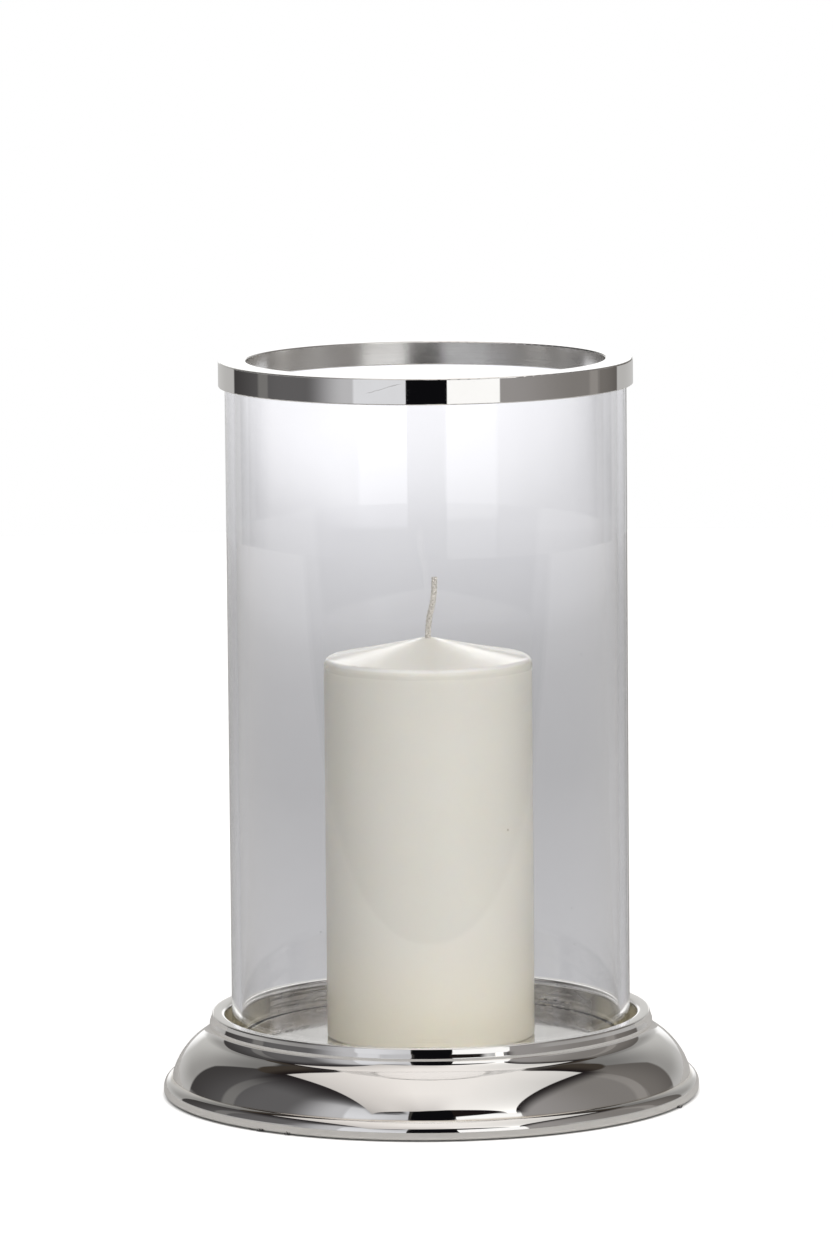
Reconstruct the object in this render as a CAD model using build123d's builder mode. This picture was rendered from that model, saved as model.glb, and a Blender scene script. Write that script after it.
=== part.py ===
"""Candle lamp with a glass shade.

A spun silver-plated base holds a pillar candle. A glass cylinder stands on the
base's dish, inside its collar, and a channel ring covers the glass's top edge.
Millimetres, +Z up. The origin is on the table, under the lamp's axis.
"""
import os
from math import acos, cos, degrees, radians, sin, sqrt

from build123d import *

# Glass cylinder, the tube that the metal is made to fit
glass_radius = 75.5
glass_wall = 3.5
glass_height = 256.0
glass_edge_round = 1.1

# Spun metal
sheet = 1.0  # thickness of the spun brass, on the foot, the dish and the ring

# Gallery dish: candle floor, inner wall, rolled rim and the collar that sits on the neck
collar_gap = 2.4  # between the glass and the dish's wall
dish_depth = 9.3  # from the rim's top down to the candle floor
floor_fillet = 1.2
rim_width = 5.0  # from the dish's wall to where the collar would meet the rim's top
rim_inner_roll = 1.8
rim_outer_roll = 0.8
collar_height = 4.7  # from the neck up to the rim's top
collar_flare = 1.0  # spread of the collar from the rim down to the neck
collar_waist_drop = 2.1  # from the rim's top down to the waist, below which the collar flares more
collar_waist_flare = 0.42  # spread of the collar from the rim down to the waist
collar_waist_bend = 4.0
collar_lip = 1.0  # upright band along the collar's lower edge
collar_bend = 0.8

# Foot: a turned-in edge, a bead, a convex shoulder and a cove up to the neck
felt_proud = 0.5  # the felt keeps the metal this far off the table
foot_height = 26.4  # from the metal's lower edge up to the neck
foot_flare = 17.7  # from the neck out to the bead's widest line
foot_edge_radius = 1.5  # outside of the bend into the turned-in edge
foot_return = 5.0  # width of the turned-in edge
bead_radius = 4.6
bead_rise = 2.6  # from the metal's lower edge to the bead's widest line
bead_sweep = 73.5  # degrees of the bead's arc, up to the crease
shoulder_rake = 15.0  # degrees off vertical at the crease
cove_radius = 5.3
neck_rake = 7.0  # degrees off vertical where the cove meets the collar
spigot_height = 2.5  # the foot's upstand inside the collar
spigot_gap = 0.2

# Underside
board_thickness = 1.5
board_gap = 0.1
felt_gap = 0.3

# Ring over the glass's top edge
ring_height = 9.7  # of the outer skirt
ring_inner_height = 8.95  # of the inner skirt
ring_outer_play = 1.4  # between the glass and the ring's outer skirt
ring_inner_play = 3.5  # between the glass and the ring's inner skirt
ring_edge_round = 0.5
ring_lip_round = 0.4  # on the skirts' lower edges

# Candle and wick
candle_radius = 39.3
candle_side_height = 143.9
candle_peak = 7.6  # rise of the top from the shoulder to the wick
candle_peak_radius = 2.6
candle_top_slope = 77.0  # degrees off vertical at the wick, flatter towards the shoulder
candle_foot_round = 1.2
candle_shoulder_round = 2.6
wick_diameter = 2.5
wick_stem = 3.8  # straight stretch out of the wax
wick_lean = 18.0  # degrees
wick_bend_radius = 18.0
wick_slope = 3.0  # leaning stretch between the two bends
wick_tip = 5.0

# Radii that follow, outwards from the glass
wall_radius = glass_radius + collar_gap
rim_radius = wall_radius + rim_width
neck_radius = rim_radius + collar_flare
foot_radius = neck_radius + foot_flare
spigot_radius = rim_radius - sheet - spigot_gap
ring_radius = glass_radius + ring_outer_play + sheet
ring_inner_radius = glass_radius - glass_wall - ring_inner_play - sheet
wick_radius = wick_diameter / 2

# Heights that follow, upwards from the table
board_bottom = felt_proud + sheet
board_top = board_bottom + board_thickness
bead_height = felt_proud + bead_rise
neck_height = felt_proud + foot_height
rim_height = neck_height + collar_height
floor_height = rim_height - dish_depth
glass_top = floor_height + glass_height
ring_top = glass_top + sheet
candle_shoulder = floor_height + candle_side_height
candle_top = candle_shoulder + candle_peak


def polar(centre, radius, angle):
    """Point at an angle, in degrees, on a circle in the profile plane."""
    return Vector(*centre) + Vector(radius * cos(radians(angle)), radius * sin(radians(angle)))


def shoulder_and_cove(crease):
    """Two tangent arcs from the crease above the bead to the neck.

    The cove is a known circle. The shoulder starts at the crease with a known
    slope, so only its radius is free, and it is the one that meets the cove.
    """
    inward = polar((0, 0), -1, shoulder_rake)
    cove_centre = polar((neck_radius, neck_height), cove_radius, neck_rake)
    reach = crease - cove_centre
    radius = (reach.dot(reach) - cove_radius**2) / (2 * (cove_radius - reach.dot(inward)))
    centre = crease + inward * radius
    to_cove = cove_centre - centre
    meeting_angle = degrees(acos(to_cove.X / to_cove.length))
    return centre, radius, meeting_angle, cove_centre


def foot_inner_radius(height):
    """Inside radius of the foot at a height beside or above the bead's widest line."""
    above = max(0.0, height - bead_height)
    return foot_radius - bead_radius + sqrt((bead_radius - sheet) ** 2 - above**2)


os.makedirs("parts", exist_ok=True)

# Foot: one sheet from the turned-in edge to the spigot, thickened towards the inside
bead_centre = Vector(foot_radius - bead_radius, bead_height)
crease_point = polar(bead_centre, bead_radius, bead_sweep)
shoulder_centre, shoulder_radius, shoulder_end, cove_centre = shoulder_and_cove(crease_point)
cove_start = 180 + shoulder_end
cove_end = 180 + neck_rake

with BuildPart() as foot_body:
    with BuildSketch(Plane.XZ):
        with BuildLine():
            FilletPolyline(
                (foot_radius - foot_return, felt_proud),
                (foot_radius, felt_proud),
                (foot_radius, bead_height),
                radius=foot_edge_radius,
            )
            CenterArc(bead_centre, bead_radius, 0, bead_sweep)
            CenterArc(shoulder_centre, shoulder_radius, shoulder_rake, shoulder_end - shoulder_rake)
            CenterArc(cove_centre, cove_radius, cove_start, cove_end - cove_start)
            Polyline(
                (neck_radius, neck_height),
                (spigot_radius, neck_height),
                (spigot_radius, neck_height + spigot_height),
            )
            offset(amount=sheet, side=Side.LEFT)
        make_face()
    revolve(axis=Axis.Z)
foot_body.part.label = "foot_body"
export_step(foot_body.part, "parts/foot_body.step")

# Gallery dish: one sheet along its visible side, thickened to the hidden side
with BuildPart() as gallery_dish:
    with BuildSketch(Plane.XZ):
        with BuildLine():
            FilletPolyline(
                (0, floor_height),
                (wall_radius, floor_height),
                (wall_radius, rim_height),
                (rim_radius, rim_height),
                (rim_radius + collar_waist_flare, rim_height - collar_waist_drop),
                (neck_radius, neck_height + collar_lip),
                (neck_radius, neck_height),
                radius=[floor_fillet, rim_inner_roll, rim_outer_roll, collar_waist_bend, collar_bend],
            )
            offset(amount=sheet, side=Side.RIGHT)
        make_face()
    revolve(axis=Axis.Z)
gallery_dish.part.label = "gallery_dish"
export_step(gallery_dish.part, "parts/gallery_dish.step")

# Board that closes the foot, lying on the turned-in edge
board_radius = foot_inner_radius(board_top) - (foot_edge_radius - sheet) - board_gap
with BuildPart() as base_board:
    with BuildSketch(Plane.XY.offset(board_bottom)):
        Circle(board_radius)
    extrude(amount=board_thickness)
base_board.part.label = "base_board"
export_step(base_board.part, "parts/base_board.step")

# Felt glued under the board, inside the turned-in edge
with BuildPart() as felt_pad:
    with BuildSketch(Plane.XY):
        Circle(foot_radius - foot_return - felt_gap)
    extrude(amount=board_bottom)
felt_pad.part.label = "felt_pad"
export_step(felt_pad.part, "parts/felt_pad.step")

# Glass cylinder with fire-polished edges
with BuildPart() as glass_cylinder:
    with BuildSketch(Plane.XZ) as glass_section:
        with Locations((glass_radius, floor_height)):
            Rectangle(glass_wall, glass_height, align=(Align.MAX, Align.MIN))
        fillet(glass_section.vertices(), glass_edge_round)
    revolve(axis=Axis.Z)
glass_cylinder.part.label = "glass_cylinder"
export_step(glass_cylinder.part, "parts/glass_cylinder.step")

# Channel ring that hangs over the glass's top edge, with its edges rounded off
with BuildPart() as rim_ring:
    with BuildSketch(Plane.XZ) as ring_section:
        with BuildLine():
            Polyline(
                (ring_inner_radius, ring_top - ring_inner_height),
                (ring_inner_radius, ring_top),
                (ring_radius, ring_top),
                (ring_radius, ring_top - ring_height),
            )
            offset(amount=sheet, side=Side.RIGHT, kind=Kind.INTERSECTION)
        make_face()
        levels = ring_section.vertices().group_by(Axis.Y)
        fillet(levels[0] + levels[1], ring_lip_round)
        fillet(ring_section.vertices().group_by(Axis.Y)[-1], ring_edge_round)
    revolve(axis=Axis.Z)
rim_ring.part.label = "rim_ring"
export_step(rim_ring.part, "parts/rim_ring.step")

# Pillar candle, cast round its wick, with a hollow-sided point
with BuildPart() as candle:
    with BuildSketch(Plane.XZ) as candle_section:
        with BuildLine():
            Polyline(
                (candle_peak_radius, candle_top),
                (wick_radius, candle_top),
                (wick_radius, floor_height),
                (candle_radius, floor_height),
                (candle_radius, candle_shoulder),
            )
            TangentArc(
                (candle_peak_radius, candle_top),
                (candle_radius, candle_shoulder),
                tangent=(sin(radians(candle_top_slope)), -cos(radians(candle_top_slope))),
            )
        make_face()
        outer_points = candle_section.vertices().group_by(Axis.X)[-1]
        fillet(outer_points.sort_by(Axis.Y)[-1], candle_shoulder_round)
        outer_points = candle_section.vertices().group_by(Axis.X)[-1]
        fillet(outer_points.sort_by(Axis.Y)[0], candle_foot_round)
    revolve(axis=Axis.Z)
candle.part.label = "candle"
export_step(candle.part, "parts/candle.step")

# Wick: straight through the wax, then a stem that leans and straightens again
with BuildPart() as wick:
    with BuildLine(Plane.XZ) as wick_path:
        stem = Line((0, floor_height), (0, candle_top + wick_stem))
        first_bend = JernArc(stem @ 1, stem % 1, wick_bend_radius, -wick_lean)
        slope = Line(first_bend @ 1, first_bend @ 1 + (first_bend % 1) * wick_slope)
        second_bend = JernArc(slope @ 1, slope % 1, wick_bend_radius, wick_lean)
        Line(second_bend @ 1, second_bend @ 1 + (second_bend % 1) * wick_tip)
    with BuildSketch(Plane.XY.offset(floor_height)):
        Circle(wick_radius)
    sweep()
wick.part.label = "wick"
export_step(wick.part, "parts/wick.step")
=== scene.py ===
"""Candle lamp with a glass shade, on a white table in a small studio.

Metres, +Z up. The camera looks along +Y, so -Y is the lamp's front and +X is to the right.
"""
import math
import random

import bmesh
import bpy
from mathutils import Matrix, Vector


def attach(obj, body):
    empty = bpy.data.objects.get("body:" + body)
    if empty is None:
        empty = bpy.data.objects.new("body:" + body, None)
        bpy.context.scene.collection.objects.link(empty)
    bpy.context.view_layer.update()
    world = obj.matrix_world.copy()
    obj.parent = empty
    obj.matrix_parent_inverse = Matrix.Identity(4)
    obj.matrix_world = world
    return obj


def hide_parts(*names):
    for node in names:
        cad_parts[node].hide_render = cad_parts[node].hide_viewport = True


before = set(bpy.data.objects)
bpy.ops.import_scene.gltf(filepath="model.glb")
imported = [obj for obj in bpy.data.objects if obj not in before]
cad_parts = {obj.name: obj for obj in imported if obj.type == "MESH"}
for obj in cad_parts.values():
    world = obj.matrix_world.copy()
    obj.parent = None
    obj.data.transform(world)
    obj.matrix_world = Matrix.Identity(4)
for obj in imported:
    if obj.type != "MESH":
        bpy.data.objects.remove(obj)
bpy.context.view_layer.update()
rng = random.Random(7)

# Camera
CAMERA_PLACE = (0.0, -2.962, 0.567)
CAMERA_PITCH = 7.474  # degrees down
CAMERA_YAW = -0.081  # degrees towards +X
CAMERA_ROLL = -0.5  # degrees
CAMERA_LENS = 228.2  # mm
CAMERA_SENSOR = 36.0  # mm, on the picture's long side

# Table
FLOOR_RADIUS = 1.8
FLOOR_COLOUR = (0.578, 0.578, 0.573)
FLOOR_WHITE = 0.70  # added for the camera alone, so that the table is white with a soft shadow
FRONT_EDGE = 0.47  # distance from the lamp to the table's front edge, as the glass shows it
HORIZON = -6.79  # elevation in degrees at which the camera sees the table's far edge
BEHIND = (  # distance from the lamp in metres, and the grey seen through the glass, first table and then backdrop
    (0.0, 0.55), (0.29, 0.53), (0.72, 0.450), (0.86, 0.455), (1.06, 0.478), (1.215, 0.530), (1.34, 0.62),
    (1.47, 0.68), (1.58, 0.73), (1.70, 0.79), (1.80, 0.83), (1.865, 0.89), (2.0, 1.01), (2.15, 1.10), (2.3, 1.15),
)
BEHIND_TINT = (0.985, 0.985, 1.015)
BACKDROP_RUN = 0.714  # metres of BEHIND for each degree above the table's far edge
# The grey sets in sooner to the sides, so that the glow is round. On the table, in metres:
GLOW_ROUND = 0.7  # how much sooner, for each metre from the middle
GLOW_CENTRE = -0.037
GLOW_SIDE = 0.45  # the most by which it sets in sooner
TABLE_ENDS = ((0.8, 1.3), 0.15)  # distances to the side between which it sets in sooner still, and by how much
# On the backdrop, in degrees and metres. The first of a pair is for each degree above the table's far edge:
GLOW_SHIFT = (2.4, 0.8)  # how far the middle lies to the left
GLOW_FALL = (0.05, 0.024)  # how much sooner, for each degree from the middle
GLOW_SIDE_RISE = 0.3  # what the most by which it sets in sooner gains
BACKDROP_ENDS = ((26.0, 50.0), 0.35)  # as TABLE_ENDS
DEGREES_PER_RADIAN = 57.3
GLOW_LEVEL = 1.15  # of the backdrop's white middle
UPPER_GLOW_LEVEL = 2.25  # of the same, as the wax and the silver inside the glass show it
WHITE_FROM = (0.0995, 0.1030)  # distances from the axis between which the table gets white

# Studio, as the silver shows it
LIGHT_GAIN = 1.70  # of the studio's light on dull surfaces
KEY_PLACE = (14.0, 14.0)  # azimuth and elevation of the light on dull surfaces, in degrees
KEY_REACH = 55.0  # degrees
KEY_LEVEL = 1.42
ROOM_COLOUR = (0.045, 0.042, 0.040)
DARK_FRONT = (0.06, 0.058, 0.056)  # in front of the table, as the glass shows it

# Where things stand in the studio, by azimuth in degrees: 0 is towards the camera and 90 to the right
LEFT_WALL = (-140.0, -40.0)
LEFT_STRIP = (-106.5, -98.0)
LEFT_DIM_PANEL = (-57.5, -10.8)
LEFT_PANEL = (-40.5, -10.8)
LEFT_DARK = (-60.0, -10.8)
RIGHT_WALL = (41.5, 145.0)
RIGHT_FAR_WALL = (113.0, 145.0)
RIGHT_STRIP = (103.5, 111.0)
RIGHT_DARK = (8.0, 41.5)
WHITE_PANEL = (11.0, 41.5)
SCREEN = (-10.8, 11.5)
SCREEN_SOFT = 0.3
BACKDROP_FROM = (137.0, 139.0)  # to both sides, as are those that follow
CEILING_FROM = (155.0, 160.0)
GLOW_FROM = (160.0, 172.0)
UPPER_GLOW_FROM = (158.0, 170.0)

# The same by elevation in degrees. Two figures are the start and the end of a soft edge
STRIP_LEAN_FROM = 8.0  # above it the light strips lean
LEFT_STRIP_TOP = (15.0, 58.0)
LEFT_DIM_TOP = (30.0, 60.0)
LEFT_PANEL_TOP = (18.0, 50.0)
LEFT_PANEL_BOTTOM = (-6.80, -6.74)
RIGHT_STRIP_TOP = (15.0, 70.0)
WHITE_PANEL_BOTTOM = (-6.74, -6.68)
SCREEN_TOP = (43.0, 46.0)
BACKDROP_TOP = (46.0, 49.0)
GLOW_BOTTOM = (-3.0, 1.0)
GLOW_TOP = (6.3, 11.0)
CLAMP_PLACE = (132.0, 52.0)  # azimuth to both sides, and elevation

# The table as the silver shows it, in front of the walls
TABLE_LEFT = (-140.0, -60.0)  # azimuths in degrees
TABLE_RIGHT = (60.0, 145.0)
TABLE_NEAR_EDGE = (-4.5, -3.5)  # elevations in degrees
TABLE_FAR_EDGE = (15.5, 19.0)  # the same, with the slope below added
TABLE_SLOPE = 0.114  # degrees that the far edge falls for each degree of azimuth
TABLE_COLOUR = (0.44, 0.435, 0.43)

# Sizes of the model, in metres and degrees
SHEET = 0.001
AROUND = 450  # faces round a turned piece
GLASS_RADIUS = 0.0755
RING_INSIDE = 0.0675  # radius of the ring's inner wall
RING_OUTSIDE = 0.0777  # where the outer face begins, just inside its radius
SCRATCH = (-16.0, -7.0)  # angles from the front
SCRATCH_START = 0.2740  # height
SCRATCH_RISE = 0.00039  # for each degree
SMEARS = (0.042, 0.078)  # heights on the glass
DISH_WALL = 0.0779
DISH_FLOOR = 0.0223
DISH_BEND = 0.0012
DISH_INSIDE_TOP = (0.0290, 0.0305)  # heights between which the dish's inside gives way to the rim
RIM_RADIUS = 0.0829
RIM_HEIGHT = 0.0316
RIM_INNER_ROLL = 0.0018
RIM_OUTER_ROLL = 0.0008
COLLAR_WAIST = (0.08332, 0.0295)  # radius and height
COLLAR_WAIST_BEND = 0.004
COLLAR_LIP = 0.001
COLLAR_BEND = 0.0008
NECK = (0.0839, 0.0269)
NECK_RAKE = 7.0
COVE_RADIUS = 0.0053
SHOULDER_RAKE = 15.0
BEAD_RADIUS = 0.0046
BEAD_HEIGHT = 0.0031
BEAD_SWEEP = 73.5
FOOT_RADIUS = 0.1016
FOOT_BOTTOM = 0.0005
FOOT_EDGE = 0.0015
FOOT_RETURN = 0.005
SPIGOT = (0.0817, 0.0294)
CREASE = ((0.0973, 0.0978), (0.0072, 0.0078))  # radii where it begins, and heights
SEAM = (0.0264, 0.0269)  # heights under the collar
FELT_RADIUS = 0.0963
FELT_TOP = 0.0015
FELT_AROUND = 360
TUFTS = (  # angle from the front in degrees, length and number of fibres of the fluff under the foot's edge
    (67.0, 0.0007, 9), (-39.0, 0.0006, 8), (-32.0, 0.0008, 6), (120.0, 0.0007, 7), (205.0, 0.0009, 6),
)
WAX_TOP = (0.1620, 0.1640)  # heights between which the candle's side gives way to its top
WAX_SHOULDER = (0.1654, 0.1665)
WICK_RADIUS = 0.00125
WICK_CORE = 0.00078
WICK_STEP = 0.0006  # along the wick
YARN_RADIUS = 0.00036
YARN_LIFT = 0.00009  # the yarns' rise and fall as they cross
YARNS = 4  # each way round
BRAID_PITCH = 0.0075
FRAYED_FIBRES = 14
WICK_ROUTE = (  # control points of the wick's line, in the plane y = 0
    (0.0, 0.0224), (0.0, 0.060), (0.0, 0.110), (0.0, 0.160), (0.0, 0.180), (0.00269, 0.1888), (0.00269, 0.1965),
)


class Graph:
    """Makes and links shader nodes. An input is either a number, a tuple or another node's output."""

    def __init__(self, tree):
        self.tree = tree
        tree.nodes.clear()

    def add(self, kind, **settings):
        node = self.tree.nodes.new(kind)
        for name, value in settings.items():
            setattr(node, name, value)
        return node

    def feed(self, socket, value):
        if isinstance(value, bpy.types.NodeSocket):
            self.tree.links.new(value, socket)
        elif isinstance(value, tuple) and socket.type == "RGBA":
            socket.default_value = (*value, 1.0)
        else:
            socket.default_value = value

    def math(self, operation, *values):
        node = self.add("ShaderNodeMath", operation=operation)
        for socket, value in zip(node.inputs, values):
            self.feed(socket, value)
        return node.outputs[0]

    def times(self, *values):
        result = values[0]
        for value in values[1:]:
            result = self.math("MULTIPLY", result, value)
        return result

    def plus(self, *values):
        result = values[0]
        for value in values[1:]:
            result = self.math("ADD", result, value)
        return result

    def minus(self, first, second):
        return self.math("SUBTRACT", first, second)

    def most(self, first, second):
        return self.math("MAXIMUM", first, second)

    def step(self, value, low, high):
        """0 below low, 1 above high and a smooth rise between."""
        node = self.add("ShaderNodeMapRange", interpolation_type="SMOOTHSTEP")
        for name, given in (("Value", value), ("From Min", low), ("From Max", high)):
            self.feed(node.inputs[name], given)
        return node.outputs["Result"]

    def fade(self, value, low, high):
        """1 below low, 0 above high."""
        return self.minus(1.0, self.step(value, low, high))

    def band(self, value, start, end, soft_start, soft_end):
        """1 between start and end, with soft edges of those half widths."""
        return self.times(
            self.step(value, start - soft_start, start + soft_start),
            self.fade(value, end - soft_end, end + soft_end),
        )

    def range(self, value, low, high, to_low, to_high):
        node = self.add("ShaderNodeMapRange")
        for name, given in (
            ("Value", value), ("From Min", low), ("From Max", high), ("To Min", to_low), ("To Max", to_high)
        ):
            self.feed(node.inputs[name], given)
        return node.outputs["Result"]

    def mix(self, factor, first, second):
        node = self.add("ShaderNodeMix", data_type="RGBA")
        self.feed(node.inputs[0], factor)
        self.feed(node.inputs[6], first)
        self.feed(node.inputs[7], second)
        return node.outputs[2]

    def ramp(self, value, stops, tint):
        """Colour that follows the stops' grey levels, times a tint."""
        node = self.add("ShaderNodeValToRGB")
        points = node.color_ramp.elements
        for place, _ in stops[2:]:
            points.new(place)
        for point, (place, level) in zip(points, stops):
            point.position = place
            point.color = (*(level * c for c in tint), 1.0)
        self.feed(node.inputs[0], value)
        return node.outputs[0]

    def split(self, vector):
        node = self.add("ShaderNodeSeparateXYZ")
        self.feed(node.inputs[0], vector)
        return node.outputs

    def join(self, x, y, z):
        node = self.add("ShaderNodeCombineXYZ")
        for socket, value in zip(node.inputs, (x, y, z)):
            self.feed(socket, value)
        return node.outputs[0]

    def angle(self, x, y):
        """Angle in degrees from the front, towards the right."""
        return self.math("DEGREES", self.math("ARCTAN2", x, self.math("MULTIPLY", y, -1.0)))

    def place(self):
        """The point on the piece, in the lamp's own frame."""
        return self.add("ShaderNodeTexCoord").outputs["Object"]

    def round_place(self):
        """The point on the piece as distance from the axis, angle in degrees from the front, and height."""
        x, y, z = self.split(self.place())
        radius = self.math("SQRT", self.plus(self.times(x, x), self.times(y, y)))
        return radius, self.angle(x, y), z

    def noise(self, vector, scale, detail=2.0, roughness=0.5):
        node = self.add("ShaderNodeTexNoise")
        self.feed(node.inputs["Vector"], vector)
        node.inputs["Scale"].default_value = scale
        node.inputs["Detail"].default_value = detail
        node.inputs["Roughness"].default_value = roughness
        return node.outputs["Fac"]

    def stretched_noise(self, scales, detail=2.0, roughness=0.5):
        """Noise with its own scale along x, y and z."""
        x, y, z = self.split(self.place())
        vector = self.join(*(self.times(part, scale) for part, scale in zip((x, y, z), scales)))
        return self.noise(vector, 1.0, detail, roughness)

    def specks(self, scale, size, share):
        """Small round specks, in a share of the cells of that scale."""
        node = self.add("ShaderNodeTexVoronoi")
        self.feed(node.inputs["Vector"], self.place())
        node.inputs["Scale"].default_value = scale
        chosen = self.math("LESS_THAN", self.split(node.outputs["Color"])[0], share)
        return self.times(chosen, self.fade(node.outputs["Distance"], size * 0.6, size))

    def bump(self, height, strength, distance):
        node = self.add("ShaderNodeBump")
        node.inputs["Strength"].default_value = strength
        node.inputs["Distance"].default_value = distance
        self.feed(node.inputs["Height"], height)
        return node.outputs["Normal"]


def make_camera():
    """The only camera, set by its place, pitch, yaw and roll."""
    data = bpy.data.cameras.new("camera")
    data.lens = CAMERA_LENS
    data.sensor_width = CAMERA_SENSOR
    data.clip_start, data.clip_end = 0.1, 100.0
    camera = bpy.data.objects.new("camera", data)
    bpy.context.collection.objects.link(camera)
    pitch, yaw, roll = (math.radians(a) for a in (CAMERA_PITCH, CAMERA_YAW, CAMERA_ROLL))
    forward = Vector((math.sin(yaw) * math.cos(pitch), math.cos(yaw) * math.cos(pitch), -math.sin(pitch)))
    level = forward.cross(Vector((0, 0, 1))).normalized()
    upright = level.cross(forward)
    right = math.cos(roll) * level + math.sin(roll) * upright
    up = right.cross(forward)
    turn = Matrix((right, up, -forward)).transposed()
    camera.matrix_world = Matrix.Translation(CAMERA_PLACE) @ turn.to_4x4()
    bpy.context.scene.camera = camera


def lean_in(graph, elevation, rate):
    """Degrees by which a light strip leans at an elevation."""
    return graph.times(graph.most(graph.minus(elevation, STRIP_LEAN_FROM), 0.0), rate)


def table_before(graph, azimuth, elevation, ends, soft, slope):
    """1 where the table shows in front of a wall."""
    far_edge = graph.plus(elevation, graph.times(azimuth, slope))
    return graph.times(
        graph.band(azimuth, *ends, *soft),
        graph.step(elevation, *TABLE_NEAR_EDGE),
        graph.fade(far_edge, *TABLE_FAR_EDGE),
    )


def left_side(graph, azimuth, elevation, colour):
    """Dark left wall with a light strip behind the table, and the pale panels between it and the screen."""
    wall = graph.mix(graph.step(azimuth, -138, -85), (0.050, 0.047, 0.047), (0.118, 0.115, 0.118))
    colour = graph.mix(graph.band(azimuth, *LEFT_WALL, 3, 12), colour, wall)
    slant = graph.plus(azimuth, lean_in(graph, elevation, 0.195))
    strip = graph.times(graph.band(slant, *LEFT_STRIP, 1.4, 1.0), graph.fade(elevation, *LEFT_STRIP_TOP), 0.9)
    colour = graph.mix(strip, colour, (0.190, 0.186, 0.182))
    table = table_before(graph, azimuth, elevation, TABLE_LEFT, (3, 6), -TABLE_SLOPE)
    colour = graph.mix(table, colour, TABLE_COLOUR)
    dim = graph.times(graph.band(azimuth, *LEFT_DIM_PANEL, 13, 0.2), graph.fade(elevation, *LEFT_DIM_TOP))
    colour = graph.mix(dim, colour, (0.51, 0.51, 0.53))
    # The glass's back wall hardly shows the panel
    depth = graph.add("ShaderNodeLightPath").outputs["Transmission Depth"]
    front = graph.minus(1.0, graph.times(graph.math("GREATER_THAN", depth, 2.5), 0.7))
    bright = graph.times(graph.band(azimuth, *LEFT_PANEL, 0.9, 0.2), graph.fade(elevation, *LEFT_PANEL_TOP), front)
    inner = graph.times(graph.step(azimuth, -32, -12), graph.step(elevation, 2, 22))
    colour = graph.mix(bright, colour, graph.mix(inner, (0.73, 0.74, 0.775), (0.56, 0.565, 0.59)))
    below = graph.times(graph.band(azimuth, *LEFT_DARK, 12, 0.2), graph.fade(elevation, *LEFT_PANEL_BOTTOM))
    return graph.mix(below, colour, DARK_FRONT)


def right_side(graph, azimuth, elevation, colour):
    """Grey right wall with a light strip behind the table, the white panel and the dark above it."""
    wall = graph.mix(graph.step(azimuth, 44, 92), (0.305, 0.292, 0.288), (0.214, 0.202, 0.193))
    colour = graph.mix(graph.band(azimuth, *RIGHT_WALL, 0.4, 3), colour, wall)
    far_wall = graph.mix(graph.step(azimuth, RIGHT_FAR_WALL[0], 140), (0.175, 0.163, 0.153), (0.115, 0.106, 0.100))
    colour = graph.mix(graph.band(azimuth, *RIGHT_FAR_WALL, 0.8, 3), colour, far_wall)
    slant = graph.minus(azimuth, lean_in(graph, elevation, 0.16))
    strip = graph.times(graph.band(slant, *RIGHT_STRIP, 1.6, 0.8), graph.fade(elevation, *RIGHT_STRIP_TOP))
    colour = graph.mix(strip, colour, (0.28, 0.265, 0.252))
    table = table_before(graph, azimuth, elevation, TABLE_RIGHT, (6, 3), TABLE_SLOPE)
    colour = graph.mix(table, colour, TABLE_COLOUR)
    colour = graph.mix(graph.band(azimuth, *RIGHT_DARK, 1, 0.4), colour, (0.012, 0.009, 0.008))
    top = graph.plus(graph.times(azimuth, 0.12), 23.2)
    # The panel's lower edge shows in the glass, but not in the inside of the ring
    path = graph.add("ShaderNodeLightPath").outputs
    from_ring = graph.times(
        graph.math("COMPARE", path["Transmission Depth"], 2.0, 0.5),
        graph.math("GREATER_THAN", path["Glossy Depth"], 0.5),
    )
    white = graph.times(
        graph.band(azimuth, *WHITE_PANEL, 0.2, 0.4),
        graph.most(graph.step(elevation, *WHITE_PANEL_BOTTOM), from_ring),
        graph.fade(graph.minus(elevation, top), -0.5, 0.5),
    )
    return graph.mix(white, colour, (1.05, 1.05, 1.05))


def screen(graph, azimuth, elevation, colour):
    """Black screen round the camera, a little narrower at the top, and a small dark bracket beside it."""
    lean = graph.times(graph.most(elevation, 0.0), 0.06)
    black = graph.times(
        graph.step(graph.minus(azimuth, lean), SCREEN[0] - SCREEN_SOFT, SCREEN[0]),
        graph.fade(graph.plus(azimuth, lean), SCREEN[1], SCREEN[1] + SCREEN_SOFT),
        graph.fade(elevation, *SCREEN_TOP),
    )
    bracket = graph.times(graph.band(azimuth, -22, -15, 1.5, 1.5), graph.band(elevation, 28.4, 29.6, 0.5, 0.5), 0.8)
    colour = graph.mix(bracket, colour, (0.08, 0.08, 0.085))
    return graph.mix(black, colour, (0.004, 0.004, 0.005))


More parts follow.
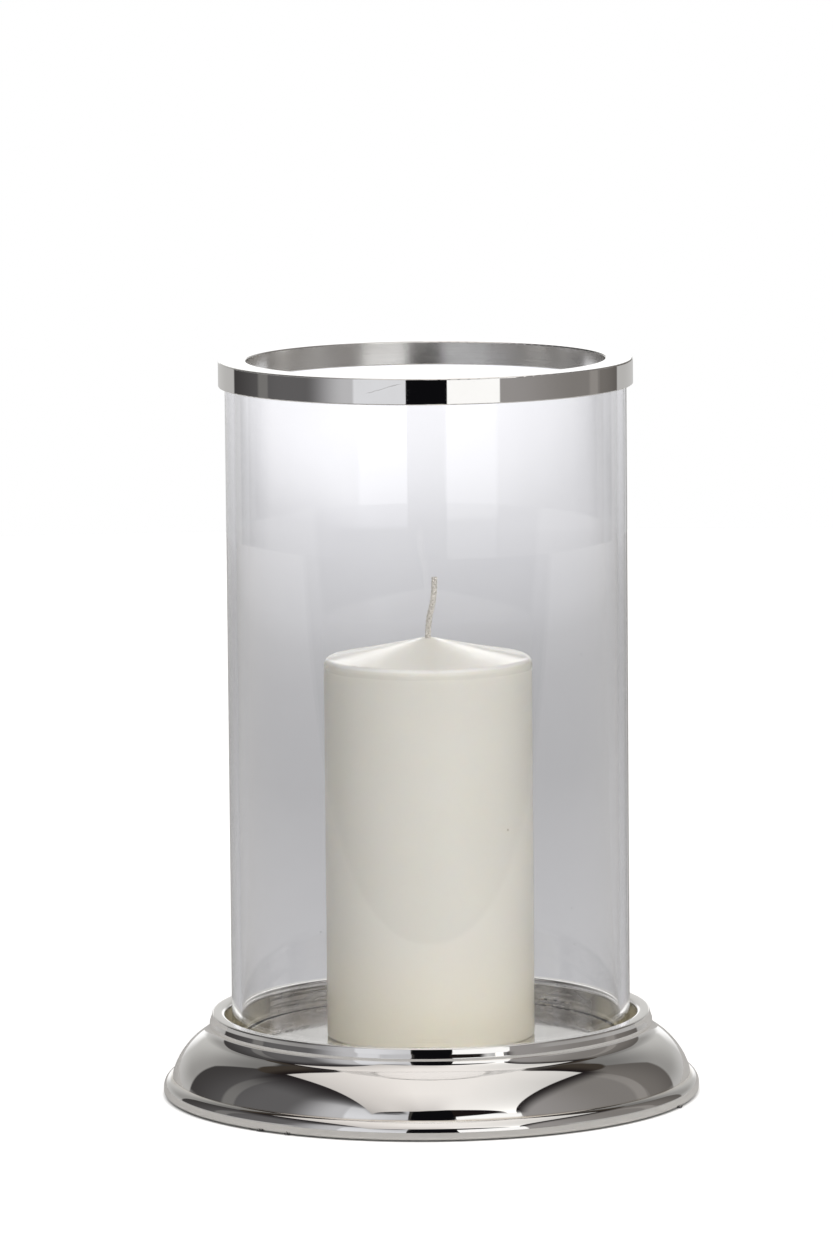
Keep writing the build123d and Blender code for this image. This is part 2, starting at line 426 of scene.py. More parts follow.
def backdrop(graph, azimuth, elevation, colour):
    """Grey backdrop, white low down in the middle, a reflector over it and dark clamps at its top corners."""
    beside = graph.math("ABSOLUTE", azimuth)
    above = graph.minus(elevation, 26.0)
    bulge = graph.most(graph.times(above, 0.3), graph.times(above, -0.15))
    behind = graph.times(graph.step(graph.plus(beside, bulge), *BACKDROP_FROM), graph.fade(elevation, *BACKDROP_TOP))
    cloth = graph.mix(graph.step(beside, 140, 172), (0.315, 0.31, 0.302), (0.60, 0.595, 0.58))
    cloth = graph.mix(graph.times(graph.step(elevation, 20, 44), 0.42), cloth, (0.02, 0.02, 0.02))
    cloth = graph.mix(graph.times(graph.fade(elevation, -2, 12), 0.7), cloth, (0.56, 0.555, 0.55))
    colour = graph.mix(behind, colour, cloth)
    glow = graph.times(
        behind,
        graph.step(beside, *GLOW_FROM),
        graph.step(elevation, *GLOW_BOTTOM),
        graph.fade(elevation, *GLOW_TOP),
    )
    colour = graph.mix(glow, colour, (GLOW_LEVEL,) * 3)
    ceiling = graph.times(graph.step(beside, *CEILING_FROM), graph.band(elevation, 50.5, 65, 1, 2))
    colour = graph.mix(ceiling, colour, (0.55, 0.545, 0.53))
    aside = graph.minus(beside, CLAMP_PLACE[0])
    up = graph.minus(elevation, CLAMP_PLACE[1])
    clamp = graph.math("SQRT", graph.plus(graph.times(aside, aside, 0.55), graph.times(up, up)))
    return graph.mix(graph.fade(clamp, 7.5, 9.0), colour, (0.050, 0.041, 0.033))


def softbox(graph, direction, colour):
    """Softbox overhead, in the plane one metre up: a sheet with hollow sides, whose front corners hang down."""
    x, y, z = direction
    height = graph.most(z, 0.02)
    across = graph.math("DIVIDE", x, height)
    ahead = graph.math("DIVIDE", graph.math("MULTIPLY", y, -1.0), height)
    to_left = graph.most(graph.math("MULTIPLY", across, -1.0), 0.0)
    to_right = graph.most(across, 0.0)
    left_run = graph.math("ABSOLUTE", graph.minus(ahead, 0.15))
    left_bend = graph.plus(graph.times(left_run, 0.35), 1.0)
    left_edge = graph.plus(graph.math("DIVIDE", graph.times(left_run, left_run, 0.20), left_bend), 0.597)
    right_run = graph.plus(ahead, 0.1)
    right_edge = graph.plus(graph.times(right_run, right_run, 0.22), 0.688)
    front_edge = graph.plus(
        graph.times(graph.math("POWER", to_left, 6.0), 0.5),
        graph.times(graph.math("POWER", to_right, 4.0), 0.17),
        graph.times(graph.step(to_left, 0.0, 0.2), 0.05),
        graph.times(graph.step(to_right, 0.0, 0.2), -0.05),
        1.40,
    )
    corner = graph.range(across, -0.01, 0.01, 2.0, 1.75)
    out_left = graph.minus(to_left, left_edge)
    out_right = graph.minus(to_right, right_edge)
    # The walls get darker towards the softbox's sides
    beside = graph.times(graph.step(z, 0.10, 0.30), graph.step(ahead, -0.6, -0.4), graph.fade(ahead, 1.5, 1.9))
    left_reach = graph.range(ahead, 0.55, 1.2, 0.68, 0.08)
    shade = graph.most(
        graph.times(graph.step(to_left, 0.3, 0.4), graph.fade(out_left, -0.10, left_reach)),
        graph.times(graph.step(to_right, 0.3, 0.4), graph.fade(out_right, 0.02, 0.34)),
    )
    colour = graph.mix(graph.times(beside, shade, 0.95), colour, (0.010, 0.007, 0.008))
    sheet = graph.times(
        graph.step(z, 0.03, 0.06),
        graph.step(ahead, -0.40, -0.37),
        graph.fade(graph.minus(ahead, front_edge), -0.025, 0.025),
        graph.fade(graph.minus(ahead, corner), -0.05, 0.05),
        graph.fade(out_left, -0.008, 0.008),
        graph.fade(out_right, -0.008, 0.008),
    )
    # Its cloth is brightest in the middle and at the front on the right
    dim_left = graph.times(graph.most(graph.minus(to_left, 0.11), 0.0), 0.65)
    right_gain = graph.minus(1.0, graph.times(graph.most(ahead, 0.0), 1.1))
    dim_right = graph.times(graph.most(graph.minus(to_right, 0.18), 0.0), right_gain, 0.6)
    middle = graph.times(graph.step(across, -0.50, -0.15), graph.fade(across, 0.0, 0.25))
    dim_front = graph.times(graph.most(graph.minus(ahead, 0.45), 0.0), middle, 0.29)
    level = graph.minus(1.0, graph.plus(dim_left, dim_right, dim_front))
    tint = graph.mix(graph.step(across, -0.4, 0.9), (0.905, 0.865, 0.838), (0.90, 0.885, 0.865))
    cloth = graph.mix(level, (0.0, 0.0, 0.0), tint)
    cloth.node.clamp_factor = False
    return graph.mix(sheet, colour, cloth)


def make_world():
    """White for the camera, the backdrop for what is seen through the glass, and else the studio."""
    world = bpy.data.worlds.new("studio")
    bpy.context.scene.world = world
    world.use_nodes = True
    graph = Graph(world.node_tree)
    direction = graph.split(graph.add("ShaderNodeTexCoord").outputs["Generated"])
    x, y, z = direction
    azimuth = graph.angle(x, y)
    elevation = graph.math("DEGREES", graph.math("ARCSINE", z))
    colour = ROOM_COLOUR
    for part in (left_side, right_side, screen, backdrop):
        colour = part(graph, azimuth, elevation, colour)
    colour = softbox(graph, direction, colour)

    path = graph.add("ShaderNodeLightPath").outputs
    dull = graph.math("GREATER_THAN", path["Diffuse Depth"], 0.5)
    through = straight_through(graph, path, y)
    key_azimuth, key_elevation = (math.radians(a) for a in KEY_PLACE)
    key = Vector((
        math.sin(key_azimuth) * math.cos(key_elevation),
        -math.cos(key_azimuth) * math.cos(key_elevation),
        math.sin(key_elevation),
    ))
    towards_key = graph.plus(*(graph.times(part, k) for part, k in zip(direction, key)))
    key_light = graph.times(graph.step(towards_key, math.cos(math.radians(KEY_REACH)), 1.0), KEY_LEVEL)
    lit = graph.mix(graph.times(dull, key_light), colour, (1.0, 0.985, 0.96))
    lit.node.blend_type = "ADD"
    lit.node.clamp_factor = False
    # Seen by reflection inside the glass, the backdrop is white further up
    beside = graph.math("ABSOLUTE", azimuth)
    inside = graph.times(graph.math("GREATER_THAN", path["Transmission Depth"], 0.5), graph.minus(1.0, dull))
    upper_glow = graph.times(inside, graph.step(beside, *UPPER_GLOW_FROM), graph.band(elevation, 12.8, 25, 1.2, 8))
    lit = graph.mix(upper_glow, lit, (UPPER_GLOW_LEVEL,) * 3)
    # Behind the glass the backdrop goes on where the table ends, and its glow is round
    rise = graph.minus(elevation, HORIZON)
    aside = graph.times(graph.math("ARCTAN2", x, y), DEGREES_PER_RADIAN)
    off = graph.math("ABSOLUTE", graph.plus(aside, graph.math("MULTIPLY_ADD", rise, *GLOW_SHIFT)))
    ends, gain = BACKDROP_ENDS
    nearer = graph.math(
        "MINIMUM",
        graph.times(off, graph.math("MULTIPLY_ADD", rise, *GLOW_FALL)),
        graph.plus(
            graph.math("MULTIPLY_ADD", rise, GLOW_SIDE_RISE, GLOW_SIDE), graph.times(graph.step(off, *ends), gain)
        ),
    )
    seen = see_behind(graph, graph.minus(graph.math("MULTIPLY_ADD", rise, BACKDROP_RUN, FLOOR_RADIUS), nearer))
    colour = graph.mix(through, lit, seen)
    colour = graph.mix(path["Is Camera Ray"], colour, (1.0, 1.0, 1.0))
    background = graph.add("ShaderNodeBackground")
    graph.feed(background.inputs["Color"], colour)
    graph.feed(background.inputs["Strength"], graph.math("MULTIPLY_ADD", dull, LIGHT_GAIN - 1.0, 1.0))
    output = graph.add("ShaderNodeOutputWorld")
    graph.feed(output.inputs["Surface"], background.outputs[0])


def straight_through(graph, path, onward):
    """1 for a ray that has only passed through glass, or along inside its wall and onward from the camera."""
    along_wall = graph.times(
        graph.math("LESS_THAN", path["Transmission Depth"], 2.5), graph.math("GREATER_THAN", onward, 0.6)
    )
    return graph.times(
        path["Is Transmission Ray"],
        graph.math("LESS_THAN", path["Diffuse Depth"], 0.5),
        graph.most(graph.math("LESS_THAN", path["Glossy Depth"], 0.5), along_wall),
    )


def see_behind(graph, distance):
    """Grey of the table and the backdrop at a distance, as seen through the glass."""
    reach = BEHIND[-1][0]
    stops = [(place / reach, level) for place, level in BEHIND]
    return graph.ramp(graph.math("DIVIDE", distance, reach), stops, BEHIND_TINT)


def make_floor():
    """Table that is white for the camera and grey when it is seen through the glass."""
    mesh = bpy.data.meshes.new("floor")
    form = bmesh.new()
    bmesh.ops.create_circle(form, cap_ends=True, segments=256, radius=FLOOR_RADIUS)
    form.to_mesh(mesh)
    form.free()
    floor = bpy.data.objects.new("floor", mesh)
    bpy.context.collection.objects.link(floor)
    material, graph, shader = new_material("table")
    speckle = graph.range(graph.noise(graph.place(), 60.0, 4.0), 0.3, 0.7, 0.0, 1.0)
    path = graph.add("ShaderNodeLightPath").outputs
    x, y, _ = graph.split(graph.place())
    radius, _, _ = graph.round_place()
    through = straight_through(graph, path, graph.math("DIVIDE", y, radius))
    paint = graph.mix(speckle, FLOOR_COLOUR, tuple(0.985 * c for c in FLOOR_COLOUR))
    # Only the camera sees the table go on beyond its front edge
    beyond = graph.times(graph.fade(y, -FRONT_EDGE - 0.01, -FRONT_EDGE), graph.minus(1.0, path["Is Camera Ray"]))
    paint = graph.mix(beyond, paint, DARK_FRONT)
    graph.feed(shader.inputs["Base Color"], graph.mix(through, paint, (0.0, 0.0, 0.0)))
    shader.inputs["Roughness"].default_value = 0.9
    shader.inputs["Specular IOR Level"].default_value = 0.0
    off = graph.math("ABSOLUTE", graph.minus(x, GLOW_CENTRE))
    ends, gain = TABLE_ENDS
    nearer = graph.math(
        "MINIMUM", graph.times(off, GLOW_ROUND), graph.plus(GLOW_SIDE, graph.times(graph.step(off, *ends), gain))
    )
    behind = see_behind(graph, graph.minus(radius, nearer))
    graph.feed(shader.inputs["Emission Color"], graph.mix(through, (FLOOR_WHITE,) * 3, behind))
    # The white stops short of the foot, so that a dark line is left where it stands
    white = graph.times(path["Is Camera Ray"], graph.step(radius, *WHITE_FROM))
    graph.feed(shader.inputs["Emission Strength"], graph.plus(white, through))
    mesh.materials.append(material)


def new_material(name):
    material = bpy.data.materials.new(name)
    material.use_nodes = True
    graph = Graph(material.node_tree)
    shader = graph.add("ShaderNodeBsdfPrincipled")
    output = graph.add("ShaderNodeOutputMaterial")
    graph.feed(output.inputs["Surface"], shader.outputs[0])
    return material, graph, shader


def polished(graph):
    """Colour and roughness of hand-polished silver plate, with faint cloudy wear and polishing lines."""
    cloud = graph.noise(graph.place(), 90.0, 5.0, 0.6)
    radius, angle, height = graph.round_place()
    turns = graph.join(graph.times(radius, 4000.0), graph.times(height, 4000.0), graph.times(angle, 0.02))
    lines = graph.noise(turns, 1.0)
    colour = graph.mix(cloud, (0.935, 0.925, 0.91), (0.905, 0.89, 0.865))
    roughness = graph.plus(graph.range(cloud, 0.35, 0.75, 0.012, 0.04), graph.range(lines, 0.55, 0.8, 0.0, 0.03))
    return colour, roughness


def foot_material():
    """Silver plate, tarnished a little where the bead meets the shoulder and under the collar."""
    material, graph, shader = new_material("silver_foot")
    colour, roughness = polished(graph)
    radius, _, height = graph.round_place()
    crease = graph.times(graph.band(height, *CREASE[1], 0.0004, 0.0004), graph.step(radius, *CREASE[0]))
    seam = graph.step(height, *SEAM)
    patchy = graph.range(graph.noise(graph.place(), 60.0, 3.0), 0.3, 0.7, 0.1, 0.6)
    dirt = graph.times(graph.most(crease, seam), patchy)
    graph.feed(shader.inputs["Base Color"], graph.mix(dirt, colour, (0.55, 0.47, 0.36)))
    graph.feed(shader.inputs["Roughness"], graph.plus(roughness, graph.times(dirt, 0.2)))
    shader.inputs["Metallic"].default_value = 1.0
    return material


def dish_material():
    """Silver plate with spun lines inside, patches of dull white on the wall, tarnish in the glass's groove and a
    golden tint at the groove's left and right sides.
    """
    material, graph, shader = new_material("silver_dish")
    colour, roughness = polished(graph)
    radius, angle, height = graph.round_place()
    inside = graph.times(
        graph.fade(radius, DISH_WALL + 0.0006, DISH_WALL + 0.0012), graph.fade(height, *DISH_INSIDE_TOP)
    )
    groove = graph.times(inside, graph.step(radius, GLASS_RADIUS - 0.0012, GLASS_RADIUS + 0.0004))
    patchy = graph.range(graph.noise(graph.place(), 140.0, 4.0, 0.6), 0.35, 0.65, 0.0, 0.45)
    stain = graph.times(groove, patchy)
    wall = graph.times(inside, graph.step(radius, DISH_WALL - 0.0012, DISH_WALL - 0.0002))
    turns = graph.join(graph.times(radius, 1500.0), graph.times(height, 1500.0), graph.times(angle, 0.03))
    lines = graph.noise(turns, 1.0, 3.0)
    bands = graph.noise(graph.join(graph.times(height, 600.0), graph.times(angle, 0.006), 0.0), 1.0, 1.0)
    patches = graph.noise(graph.join(graph.times(angle, 0.075), graph.times(height, 170.0), 0.0), 1.0, 3.0)
    # Patches of the wall where the silver is dull white and not metallic, which make it lighter
    hazy = graph.times(wall, graph.range(patches, 0.42, 0.60, 0.08, 0.60))
    x, _, _ = graph.split(graph.place())
    # Golden and less metallic in the groove at its left and right sides only
    yellow = graph.times(groove, graph.step(graph.math("ABSOLUTE", x), 0.060, 0.073))
    colour = graph.mix(stain, colour, (0.90, 0.82, 0.66))
    graph.feed(shader.inputs["Base Color"], graph.mix(yellow, colour, (0.97, 0.90, 0.68)))
    graph.feed(shader.inputs["Metallic"], graph.minus(1.0, graph.most(hazy, graph.times(yellow, 0.75))))
    spun = graph.plus(roughness, graph.times(inside, graph.range(lines, 0.3, 0.7, 0.01, 0.05)))
    graph.feed(shader.inputs["Roughness"], graph.plus(spun, graph.times(stain, 0.1)))
    relief = graph.plus(graph.times(lines, inside, 0.1), graph.times(bands, wall))
    graph.feed(shader.inputs["Normal"], graph.bump(relief, 1.0, 0.0002))
    return material


def ring_material():
    """Silver plate: the outside polished, with one scratch, and the inside left with the lathe's lines."""
    material, graph, shader = new_material("silver_ring")
    colour, roughness = polished(graph)
    radius, angle, height = graph.round_place()
    inside = graph.fade(radius, RING_INSIDE + 0.0001, RING_INSIDE + 0.0004)
    turns = graph.join(graph.times(height, 3800.0), graph.times(angle, 0.02), graph.times(radius, 40.0))
    lines = graph.noise(turns, 1.0, 4.0, 0.65)
    turned = graph.range(lines, 0.25, 0.75, 0.15, 0.23)
    # One fine scratch across the front
    along = graph.plus(graph.times(graph.plus(angle, -SCRATCH[0]), SCRATCH_RISE), SCRATCH_START)
    wander = graph.times(graph.minus(graph.noise(graph.place(), 420.0), 0.5), 0.0012)
    off = graph.math("ABSOLUTE", graph.minus(graph.minus(height, along), wander))
    scratch = graph.times(
        graph.fade(off, 0.00005, 0.00022),
        graph.band(angle, *SCRATCH, 1, 1),
        graph.step(radius, RING_OUTSIDE - 0.0003, RING_OUTSIDE),
        0.3,
    )
    spots = graph.times(graph.specks(160.0, 0.14, 0.03), inside)
    worn = graph.times(inside, graph.range(lines, 0.3, 0.7, 0.1, 0.4))
    colour = graph.mix(worn, colour, (0.80, 0.79, 0.765))
    colour = graph.mix(graph.most(scratch, spots), colour, (0.42, 0.38, 0.34))
    graph.feed(shader.inputs["Base Color"], colour)
    roughness = graph.plus(
        graph.times(graph.minus(1.0, inside), roughness), graph.times(inside, turned), graph.times(scratch, 0.3)
    )
    graph.feed(shader.inputs["Roughness"], roughness)
    graph.feed(shader.inputs["Normal"], graph.bump(graph.times(lines, inside), 1.0, 0.000014))
    shader.inputs["Metallic"].default_value = 1.0
    return material


def glass_material():
    """Clear glass with a few specks of dust and dried smears low down."""
    material, graph, shader = new_material("clear_glass")
    radius, angle, height = graph.round_place()
    dust = graph.specks(90.0, 0.035, 0.10)
    tint = graph.mix(graph.noise(graph.place(), 25.0, 3.0), (1.0, 1.0, 1.0), (0.985, 0.985, 0.992))
    graph.feed(shader.inputs["Base Color"], graph.mix(dust, tint, (0.45, 0.44, 0.43)))
    slant = graph.plus(graph.times(height, 60.0), graph.times(angle, 0.05))
    smear = graph.noise(graph.join(graph.times(angle, 0.16), slant, radius), 1.0, 4.0, 0.6)
    low = graph.times(graph.band(height, *SMEARS, 0.006, 0.014), graph.range(smear, 0.52, 0.75, 0.0, 1.0))
    graph.feed(shader.inputs["Roughness"], graph.times(low, 0.10))
    shader.inputs["IOR"].default_value = 1.47
    shader.inputs["Transmission Weight"].default_value = 1.0
    return material


def wax_material():
    """Ivory wax, glossier on top, with a little mottling and a few specks, painted lighter and yellower towards the
    foot for bounced light, and with a painted highlight along the shoulder.
    """
    material, graph, shader = new_material("ivory_wax")
    _, _, height = graph.round_place()
    mottle = graph.noise(graph.place(), 45.0, 4.0, 0.55)
    pale = graph.mix(mottle, (0.897, 0.883, 0.815), (0.870, 0.854, 0.780))
    # Painted bounce light: the wax gets lighter and yellower towards the foot, for light thrown up from the silver
    # dish
    bounce_lit_wax = graph.mix(mottle, (0.985, 0.930, 0.785), (0.965, 0.905, 0.750))
    colour = graph.mix(graph.fade(height, 0.020, 0.075), pale, bounce_lit_wax)
    # Painted highlight: a paler band along the shoulder, in place of the softbox's reflection there
    colour = graph.mix(graph.band(height, *WAX_SHOULDER, 0.0004, 0.0004), colour, (0.99, 0.985, 0.955))
    colour = graph.mix(graph.times(graph.specks(70.0, 0.04, 0.12), 0.7), colour, (0.42, 0.37, 0.27))
    graph.feed(shader.inputs["Base Color"], colour)
    top = graph.step(height, *WAX_TOP)
    satin = graph.range(mottle, 0.3, 0.7, 0.28, 0.34)
    graph.feed(shader.inputs["Roughness"], graph.minus(satin, graph.times(top, 0.16)))
    shader.inputs["Specular IOR Level"].default_value = 0.7
    dents = graph.noise(graph.place(), 38.0, 3.0, 0.5)
    graph.feed(shader.inputs["Normal"], graph.bump(dents, 0.25, 0.0002))
    shader.inputs["Subsurface Weight"].default_value = 0.2
    shader.inputs["Subsurface Radius"].default_value = (1.0, 0.8, 0.5)
    shader.inputs["Subsurface Scale"].default_value = 0.004
    return material


def cotton_material():
    """Waxed cotton yarn."""
    material, graph, shader = new_material("waxed_cotton")
    fibre = graph.stretched_noise((5000.0, 5000.0, 900.0), 3.0, 0.6)
    graph.feed(shader.inputs["Base Color"], graph.mix(fibre, (0.60, 0.575, 0.53), (0.78, 0.755, 0.71)))
    graph.feed(shader.inputs["Roughness"], graph.range(fibre, 0.3, 0.7, 0.5, 0.75))
    graph.feed(shader.inputs["Normal"], graph.bump(fibre, 0.5, 0.0002))
    return material


def felt_material():
    """Dark wool felt with a few pale fibres in it."""
    material, graph, shader = new_material("dark_felt")
    fibre = graph.noise(graph.place(), 1400.0, 5.0, 0.7)
    cloud = graph.noise(graph.place(), 80.0, 3.0)
    colour = graph.mix(fibre, (0.018, 0.017, 0.018), (0.075, 0.072, 0.072))
    graph.feed(shader.inputs["Base Color"], graph.mix(graph.times(cloud, 0.5), colour, (0.05, 0.048, 0.05)))
    shader.inputs["Roughness"].default_value = 0.95
    shader.inputs["Specular IOR Level"].default_value = 0.2
    shader.inputs["Sheen Weight"].default_value = 0.35
    shader.inputs["Sheen Roughness"].default_value = 0.5
    graph.feed(shader.inputs["Normal"], graph.bump(fibre, 0.9, 0.0006))
    return material


def board_material():
    """Grey-brown card with its fibres."""
    material, graph, shader = new_material("grey_board")
    fibre = graph.stretched_noise((400.0, 1500.0, 1500.0), 4.0, 0.65)
    fleck = graph.specks(700.0, 0.25, 0.2)
    colour = graph.mix(fibre, (0.36, 0.29, 0.21), (0.48, 0.40, 0.30))
    graph.feed(shader.inputs["Base Color"], graph.mix(graph.times(fleck, 0.5), colour, (0.24, 0.19, 0.14)))
    shader.inputs["Roughness"].default_value = 0.9
    graph.feed(shader.inputs["Normal"], graph.bump(fibre, 0.4, 0.0003))
    return material


def dress(node, material):
    """Gives a carried-over CAD piece its material."""
    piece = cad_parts[node]
    piece.data.materials.clear()
    piece.data.materials.append(material)


def add_piece(name, form, material, body, node):
    """Makes an object of a bmesh, in the place of a CAD node."""
    mesh = bpy.data.meshes.new(name)
    form.to_mesh(mesh)
    form.free()
    for face in mesh.polygons:
        face.use_smooth = True
    mesh.materials.append(material)
    piece = bpy.data.objects.new(name, mesh)
    bpy.context.collection.objects.link(piece)
    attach(piece, body)
    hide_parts(node)
    return piece


def arc(centre, radius, start, end):
    """Points on an arc, in steps of about three degrees, with angles in degrees."""
    steps = max(2, round(abs(end - start) / 3.0))
    angles = (math.radians(start + (end - start) * k / steps) for k in range(steps + 1))
    return [Vector((centre[0] + radius * math.cos(a), centre[1] + radius * math.sin(a))) for a in angles]


def rounded(corners, radii):
    """Line through the corners, with each inner corner rounded to its radius."""
    corners = [Vector(c) for c in corners]
    line = [corners[0]]
    for before, corner, after, radius in zip(corners, corners[1:], corners[2:], radii):
        back = (before - corner).normalized()
        on = (after - corner).normalized()
        half = back.angle(on) / 2
        middle = corner + (back + on).normalized() * (radius / math.sin(half))
        first = corner + back * (radius / math.tan(half)) - middle
        last = corner + on * (radius / math.tan(half)) - middle
        start = math.degrees(math.atan2(first.y, first.x))
        turn = (math.degrees(math.atan2(last.y, last.x)) - start + 180.0) % 360.0 - 180.0
        line += arc(middle, radius, start, start + turn)
    return line + [corners[-1]]


def beside(line, amount):
    """The line moved to its left by an amount, so that the two make a sheet of even thickness."""
    moved = []
    for index, point in enumerate(line):
        sides = []
        if index > 0:
            sides.append((point - line[index - 1]).normalized())
        if index < len(line) - 1:
            sides.append((line[index + 1] - point).normalized())
        normals = [Vector((-d.y, d.x)) for d in sides]
        normal = sum(normals, Vector((0.0, 0.0))).normalized()
        moved.append(point + normal * (amount / normal.dot(normals[0])))
    return moved


def face_between(low, high, k):
    """Corners of the k-th face between two rings of points, of which one may be a single point."""
    corners = [low[k % len(low)], low[(k + 1) % len(low)], high[(k + 1) % len(high)], high[k % len(high)]]
    return list(dict.fromkeys(corners))


def spin(profile, around):
    """Closed mesh of a closed profile of radius and height turned about the axis."""
    form = bmesh.new()
    loops = []
    for radius, height in profile:
        if radius < 1e-6:
            loops.append([form.verts.new((0.0, 0.0, height))])
            continue
        turns = (2 * math.pi * k / around for k in range(around))
        loops.append([form.verts.new((radius * math.cos(t), radius * math.sin(t), height)) for t in turns])
    for low, high in zip(loops, loops[1:] + loops[:1]):
        if len(low) == 1 and len(high) == 1:
            continue
        for k in range(around):
            form.faces.new(face_between(low, high, k))
    bmesh.ops.recalc_face_normals(form, faces=form.faces)
    return form


def keep_creases(piece):
    """Smooth shading, apart from the creases."""
    piece.data.set_sharp_from_angle(angle=math.radians(30.0))


def foot_line():
    """Outside of the foot: turned-in edge, bead, shoulder, cove and spigot."""
    edge = rounded(
        ((FOOT_RADIUS - FOOT_RETURN, FOOT_BOTTOM), (FOOT_RADIUS, FOOT_BOTTOM), (FOOT_RADIUS, BEAD_HEIGHT)),
        (FOOT_EDGE,),
    )
    bead_centre = Vector((FOOT_RADIUS - BEAD_RADIUS, BEAD_HEIGHT))
    bead = arc(bead_centre, BEAD_RADIUS, 0.0, BEAD_SWEEP)
    crease = bead[-1]
    # The shoulder's circle starts at the crease and touches the cove's circle
    rake, neck_rake = math.radians(SHOULDER_RAKE), math.radians(NECK_RAKE)
    inward = -Vector((math.cos(rake), math.sin(rake)))
    cove_centre = Vector(NECK) + COVE_RADIUS * Vector((math.cos(neck_rake), math.sin(neck_rake)))
    reach = crease - cove_centre
    radius = (reach.dot(reach) - COVE_RADIUS**2) / (2 * (COVE_RADIUS - reach.dot(inward)))
    shoulder_centre = crease + inward * radius
    to_cove = cove_centre - shoulder_centre
    meeting = math.degrees(math.atan2(to_cove.y, to_cove.x))
    shoulder = arc(shoulder_centre, radius, SHOULDER_RAKE, meeting)
    cove = arc(cove_centre, COVE_RADIUS, 180.0 + meeting, 180.0 + NECK_RAKE)
    top = [Vector((SPIGOT[0], NECK[1])), Vector(SPIGOT)]
    return edge[:-1] + bead + shoulder[1:] + cove[1:] + top


def make_foot(material):
    """The spun foot as a fine turned mesh, for clean reflections."""
    line = foot_line()
    form = spin(line + beside(line, SHEET)[::-1], AROUND)
    keep_creases(add_piece("foot_turned", form, material, "base", "foot_body"))


def make_dish(material):
    """The spun dish with its rolled rim and collar as a fine turned mesh, for clean reflections."""
    line = rounded(
        (
            (0.0, DISH_FLOOR), (DISH_WALL, DISH_FLOOR), (DISH_WALL, RIM_HEIGHT), (RIM_RADIUS, RIM_HEIGHT),
            COLLAR_WAIST, (NECK[0], NECK[1] + COLLAR_LIP), NECK,
        ),
        (DISH_BEND, RIM_INNER_ROLL, RIM_OUTER_ROLL, COLLAR_WAIST_BEND, COLLAR_BEND),
    )
    form = spin(line + beside(line, -SHEET)[::-1], AROUND)
    keep_creases(add_piece("dish_turned", form, material, "base", "gallery_dish"))


def smooth_line(points, steps):
    """Points along a NURBS spline with those control points."""
    data = bpy.data.curves.new("line", "CURVE")
    data.dimensions = "3D"
    data.resolution_u = steps
    spline = data.splines.new("NURBS")
    spline.points.add(len(points) - 1)
    for target, point in zip(spline.points, points):
        target.co = (*point, 1.0)
    spline.order_u = 3
    spline.use_endpoint_u = True
    line = bpy.data.objects.new("line", data)
    mesh = bpy.data.meshes.new_from_object(line)
    found = [v.co.copy() for v in mesh.vertices]
    bpy.data.objects.remove(line)
    bpy.data.curves.remove(data)
    bpy.data.meshes.remove(mesh)
    return found


def even_line(points, spacing):
    """The same line as places and directions at an even spacing."""
    lengths = [0.0]
    for first, second in zip(points, points[1:]):
        lengths.append(lengths[-1] + (second - first).length)
    count = int(lengths[-1] / spacing)
    places = []
    segment = 0
    for index in range(count + 1):
        goal = lengths[-1] * index / count
        while segment < len(points) - 2 and lengths[segment + 1] < goal:
            segment += 1
        share = (goal - lengths[segment]) / (lengths[segment + 1] - lengths[segment])
        direction = (points[segment + 1] - points[segment]).normalized()
        places.append((points[segment].lerp(points[segment + 1], share), direction, goal))
    return places


def add_tube(form, centres, radii, sides):
    """Tube through the centres, closed at both ends."""
    rings = []
    for index, (centre, radius) in enumerate(zip(centres, radii)):
        before = centres[max(index - 1, 0)]
        after = centres[min(index + 1, len(centres) - 1)]
        direction = (after - before).normalized()
        side = direction.cross(Vector((0.31, 0.87, 0.39))).normalized()
        other = direction.cross(side)
        ring = []
        for k in range(sides):
            turn = 2 * math.pi * k / sides
            ring.append(form.verts.new(centre + radius * (math.cos(turn) * side + math.sin(turn) * other)))
        rings.append(ring)
    for low, high in zip(rings, rings[1:]):
        for k in range(sides):
            form.faces.new((low[k], low[(k + 1) % sides], high[(k + 1) % sides], high[k]))
    form.faces.new(reversed(rings[0]))
    form.faces.new(rings[-1])


def make_wick(material):
    """Round braid of eight yarns, four each way, over a core, frayed at the tip."""
    braid = WICK_RADIUS - YARN_RADIUS - YARN_LIFT  # radius of the braid's middle surface
    line = even_line(smooth_line([(x, 0.0, z) for x, z in WICK_ROUTE], 40), WICK_STEP)
    form = bmesh.new()
    add_tube(form, [place for place, _, _ in line], [WICK_CORE] * len(line), 8)
    for way in (1, -1):
        for k in range(YARNS):
            centres = []
            for place, direction, run in line:
                turn = way * 2 * math.pi * run / BRAID_PITCH + 2 * math.pi * k / YARNS
                side = direction.cross(Vector((0, 1, 0))).normalized()
                other = direction.cross(side)
                reach = braid + way * YARN_LIFT * math.cos(2 * YARNS * math.pi * run / BRAID_PITCH + math.pi * k)
                centres.append(place + reach * (math.cos(turn) * side + math.sin(turn) * other))
            add_tube(form, centres, [YARN_RADIUS] * len(centres), 6)
    tip, direction, _ = line[-1]
    for _ in range(FRAYED_FIBRES):
        turn = rng.uniform(0, 2 * math.pi)
        reach = WICK_RADIUS * math.sqrt(rng.uniform(0.0, 0.7))
        start = tip + Vector((reach * math.cos(turn), reach * math.sin(turn), -0.0008))
        spread = Vector((math.cos(turn), math.sin(turn), 0.0)) * rng.uniform(0.0, 0.0004)
        end = start + direction * rng.uniform(0.0009, 0.0014) + spread
        add_tube(form, [start, start.lerp(end, 0.6), end], [0.00011, 0.0001, 0.00004], 4)
    add_piece("wick_braid", form, material, "candle", "wick")


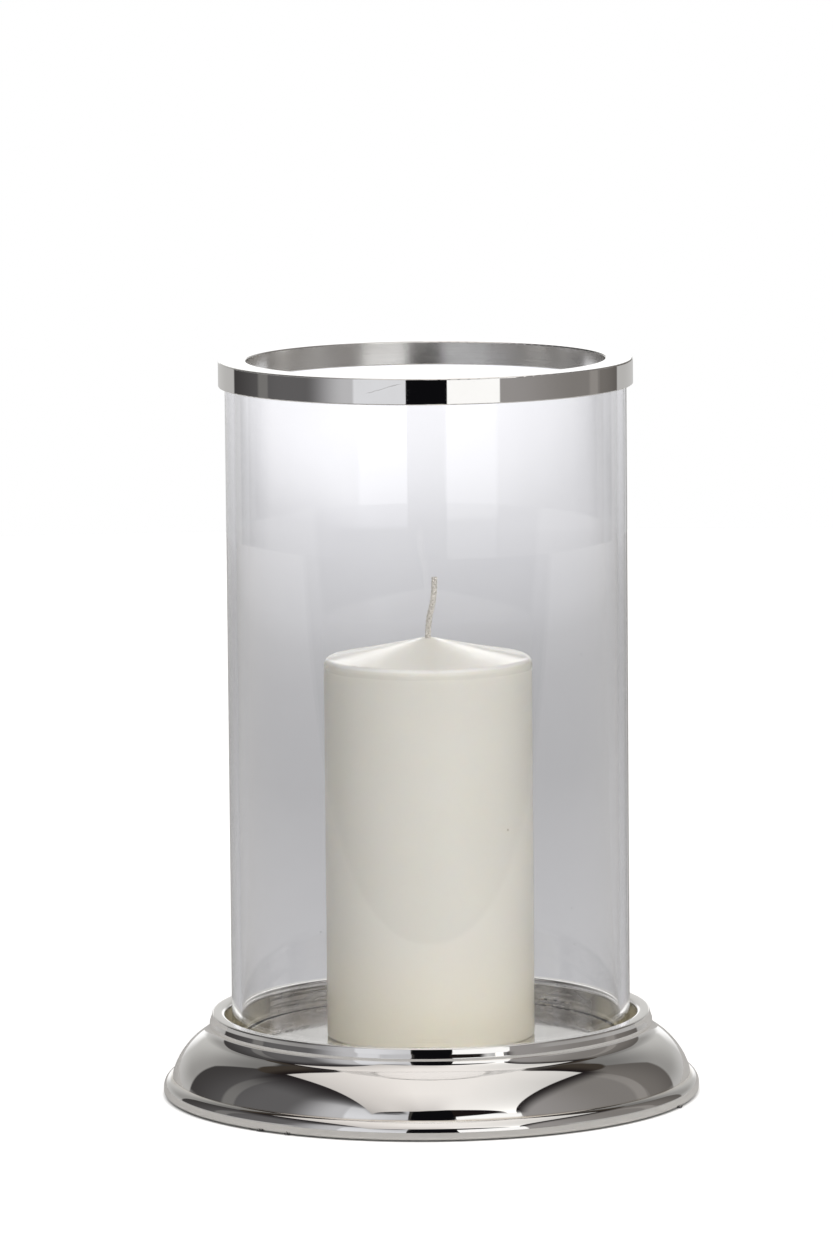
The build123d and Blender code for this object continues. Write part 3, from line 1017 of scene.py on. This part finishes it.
def add_tuft(form, angle, length, count):
    """Loose fluff that hangs out from under the foot's edge, at an angle from the front."""
    out = Vector((math.sin(angle), -math.cos(angle), 0.0))
    along = Vector((math.cos(angle), math.sin(angle), 0.0))
    for _ in range(count):
        side = rng.uniform(-0.0006, 0.0006)
        drift = rng.uniform(-0.0008, 0.0008)
        reach = FOOT_RADIUS + length * rng.uniform(0.1, 1.0)
        height = rng.uniform(0.00012, 0.0004)
        rise = rng.uniform(0.0, 0.0012)
        centres = [
            out * (FELT_RADIUS - 0.001) + along * side + Vector((0, 0, height)),
            out * (FOOT_RADIUS - 0.0012) + along * (side + 0.4 * drift) + Vector((0, 0, 0.00022)),
            out * (FOOT_RADIUS + 0.3 * (reach - FOOT_RADIUS)) + along * (side + 0.7 * drift) + Vector((0, 0, 0.0003)),
            out * reach + along * (side + drift) + Vector((0, 0, 0.0003 + rise)),
        ]
        add_tube(form, centres, [0.00009, 0.00009, 0.00008, 0.00004], 4)


def make_felt(material):
    """Disc of felt with a soft uneven edge, and fluff that shows under the foot's edge."""
    rings = (  # share of the radius, height, unevenness of radius and of height
        (0.0, 0.0, 0.0, 0.0), (0.25, 0.0, 0.0, 0.00004), (0.5, 0.0, 0.0, 0.00004), (0.75, 0.0, 0.0, 0.00004),
        (0.93, 0.0, 0.0, 0.00004), (0.995, 0.0001, 0.00015, 0.00006), (1.0, 0.0005, 0.00025, 0.0001),
        (1.0, 0.0010, 0.00025, 0.0001), (0.996, 0.0014, 0.00015, 0.00005), (0.93, FELT_TOP, 0.0, 0.0),
        (0.5, FELT_TOP, 0.0, 0.0), (0.0, FELT_TOP, 0.0, 0.0),
    )
    form = bmesh.new()
    loops = []
    for share, height, loose, rough in rings:
        if share == 0.0:
            loops.append([form.verts.new((0.0, 0.0, height))])
            continue
        loop = []
        for k in range(FELT_AROUND):
            turn = 2 * math.pi * k / FELT_AROUND
            radius = FELT_RADIUS * share - rng.uniform(0.0, 2.0) * loose
            lift = height + rng.uniform(0.0, 1.0) * rough
            loop.append(form.verts.new((radius * math.cos(turn), radius * math.sin(turn), min(lift, FELT_TOP))))
        loops.append(loop)
    for low, high in zip(loops, loops[1:]):
        for k in range(FELT_AROUND):
            form.faces.new(reversed(face_between(low, high, k)))
    for degrees, length, count in TUFTS:
        add_tuft(form, math.radians(degrees), length, count)
    felt = add_piece("felt_disc", form, material, "base", "felt_pad")


make_camera()
make_world()
make_floor()
make_foot(foot_material())
make_dish(dish_material())
dress("rim_ring", ring_material())
dress("glass_cylinder", glass_material())
dress("candle", wax_material())
dress("base_board", board_material())
make_wick(cotton_material())
make_felt(felt_material())

bpy.context.scene.view_settings.view_transform = "Standard"
